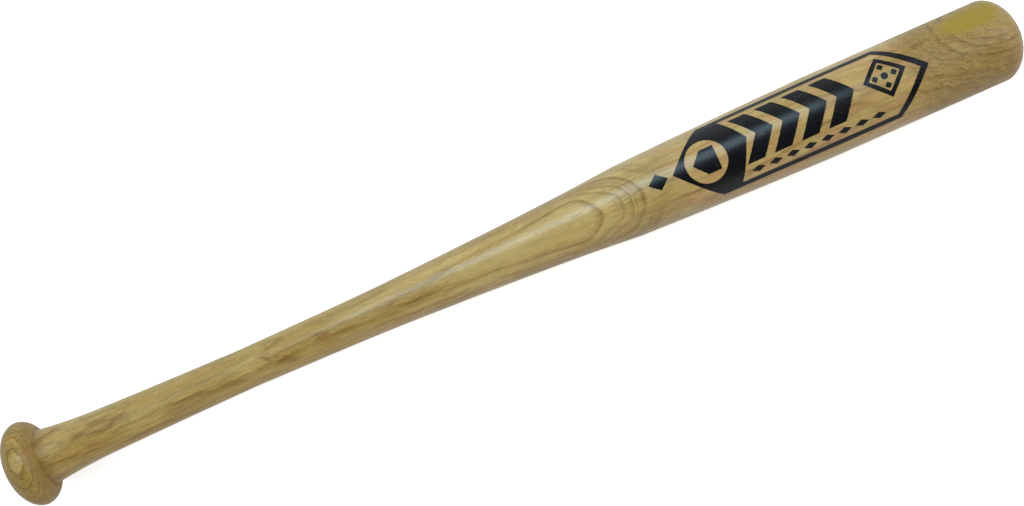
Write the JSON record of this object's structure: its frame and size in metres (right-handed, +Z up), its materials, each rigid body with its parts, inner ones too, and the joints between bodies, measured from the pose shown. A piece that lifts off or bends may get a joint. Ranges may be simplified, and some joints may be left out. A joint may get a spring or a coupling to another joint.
{
  "type": "baseball bat",
  "caption": "Small one-piece turned wooden baseball bat with a rounded knob, slim grip, tapered barrel and black printed artwork.",
  "frame": {"origin": "on the surface the bat lies on, under the middle of its length", "axes": "+X along the bat from knob to barrel end, +Y across it, +Z up, the side that carries the print"},
  "size_m": [0.64, 0.0512, 0.0511],
  "materials": {
    "wood": "light yellowish brown hardwood, clear satin lacquer",
    "black_ink": "black printed ink, semi-gloss"
  },
  "bodies": {
    "root": {"bat_body": "wood", "print_frame": "black_ink", "print_plate": "black_ink", "print_chevron_1": "black_ink", "print_chevron_2": "black_ink", "print_chevron_3": "black_ink", "print_chevron_4": "black_ink", "print_diamond": "black_ink", "print_bases": "black_ink", "print_dot": "black_ink", "print_lozenges": "black_ink", "print_tip": "black_ink"}
  },
  "joints": []
}
